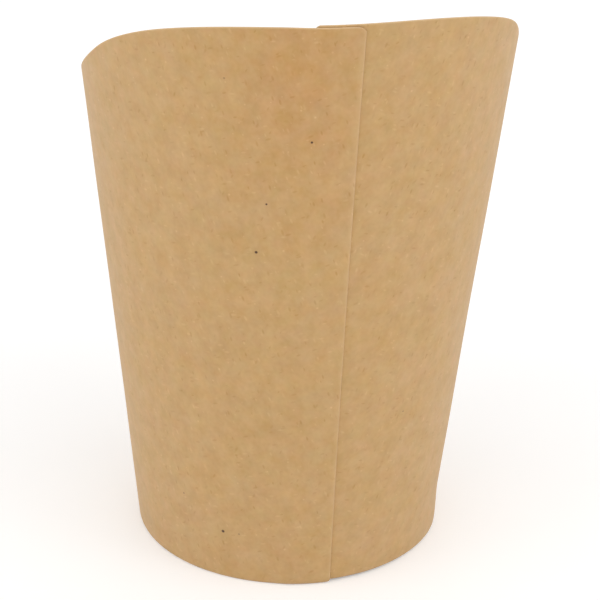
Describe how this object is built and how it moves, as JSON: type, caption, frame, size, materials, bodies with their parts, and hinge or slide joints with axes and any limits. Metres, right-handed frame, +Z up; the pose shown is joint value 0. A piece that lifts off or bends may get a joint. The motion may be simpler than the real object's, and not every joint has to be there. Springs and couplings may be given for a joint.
{
  "type": "paper fry cup",
  "caption": "Tapered round kraft paper cup with a lapped side seam, a rim that scoops from a tall side to a low side, and a base recessed in a folded hem, for serving fries.",
  "frame": {"origin": "on the cup's axis, in the plane that its folded foot stands on", "axes": "+Z up along the cup's axis, -Y towards the tall side with the seam, +Y towards the low side, +X to the right when the seam is looked at"},
  "size_m": [0.0814, 0.0821, 0.1195],
  "materials": {
    "side_wall": "uncoated kraft card, matte, with fine fibre mottling and pale cut edges",
    "base_disc": "uncoated kraft card, matte, with fine fibre mottling"
  },
  "bodies": {
    "root": {"side_wall": "side_wall", "base_disc": "base_disc"}
  },
  "joints": []
}
